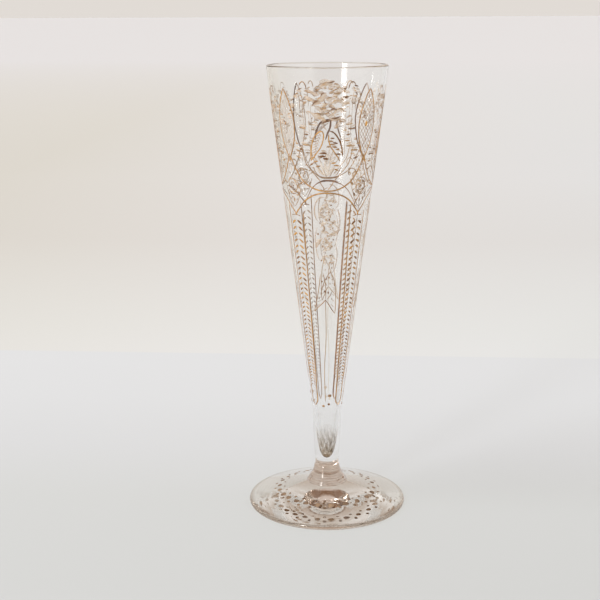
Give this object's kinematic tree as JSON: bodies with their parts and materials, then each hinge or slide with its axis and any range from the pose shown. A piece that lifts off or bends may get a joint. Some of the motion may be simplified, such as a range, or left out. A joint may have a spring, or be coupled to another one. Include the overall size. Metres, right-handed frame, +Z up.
{
  "type": "champagne flute",
  "caption": "Tall conical champagne flute in clear glass with a solid tail, a button stem, a heavy conical foot and fired gold and enamel ornament.",
  "frame": {"origin": "on the axis of the flute, in the plane that the foot stands on", "axes": "+Z up along the axis of the flute, from the foot to the lip; -Y towards the middle of one painted panel"},
  "size_m": [0.072, 0.072, 0.2],
  "materials": {
    "bowl_glass": "polished",
    "foot_glass": "polished",
    "fired_gold": "satin",
    "matt_enamel": "matte"
  },
  "bodies": {
    "root": {"bowl": "bowl_glass", "stem": "foot_glass", "foot": "foot_glass", "lancet_outlines": "fired_gold", "lancet_lattice": "fired_gold", "lancet_beads": "fired_gold", "swags": "fired_gold", "arcade_arches": "fired_gold", "band_borders": "fired_gold", "band_leaves": "fired_gold", "spandrel_roses": "fired_gold", "bouquet_petals": "fired_gold", "tulip_leaves": "fired_gold", "bud_palmettes": "matt_enamel", "side_scrolls": "fired_gold", "pendant_flowers": "matt_enamel", "tassel_leaves": "fired_gold", "centre_lines": "fired_gold", "tip_dots": "fired_gold", "foot_large_dots": "fired_gold", "foot_small_dots": "fired_gold"}
  },
  "joints": []
}
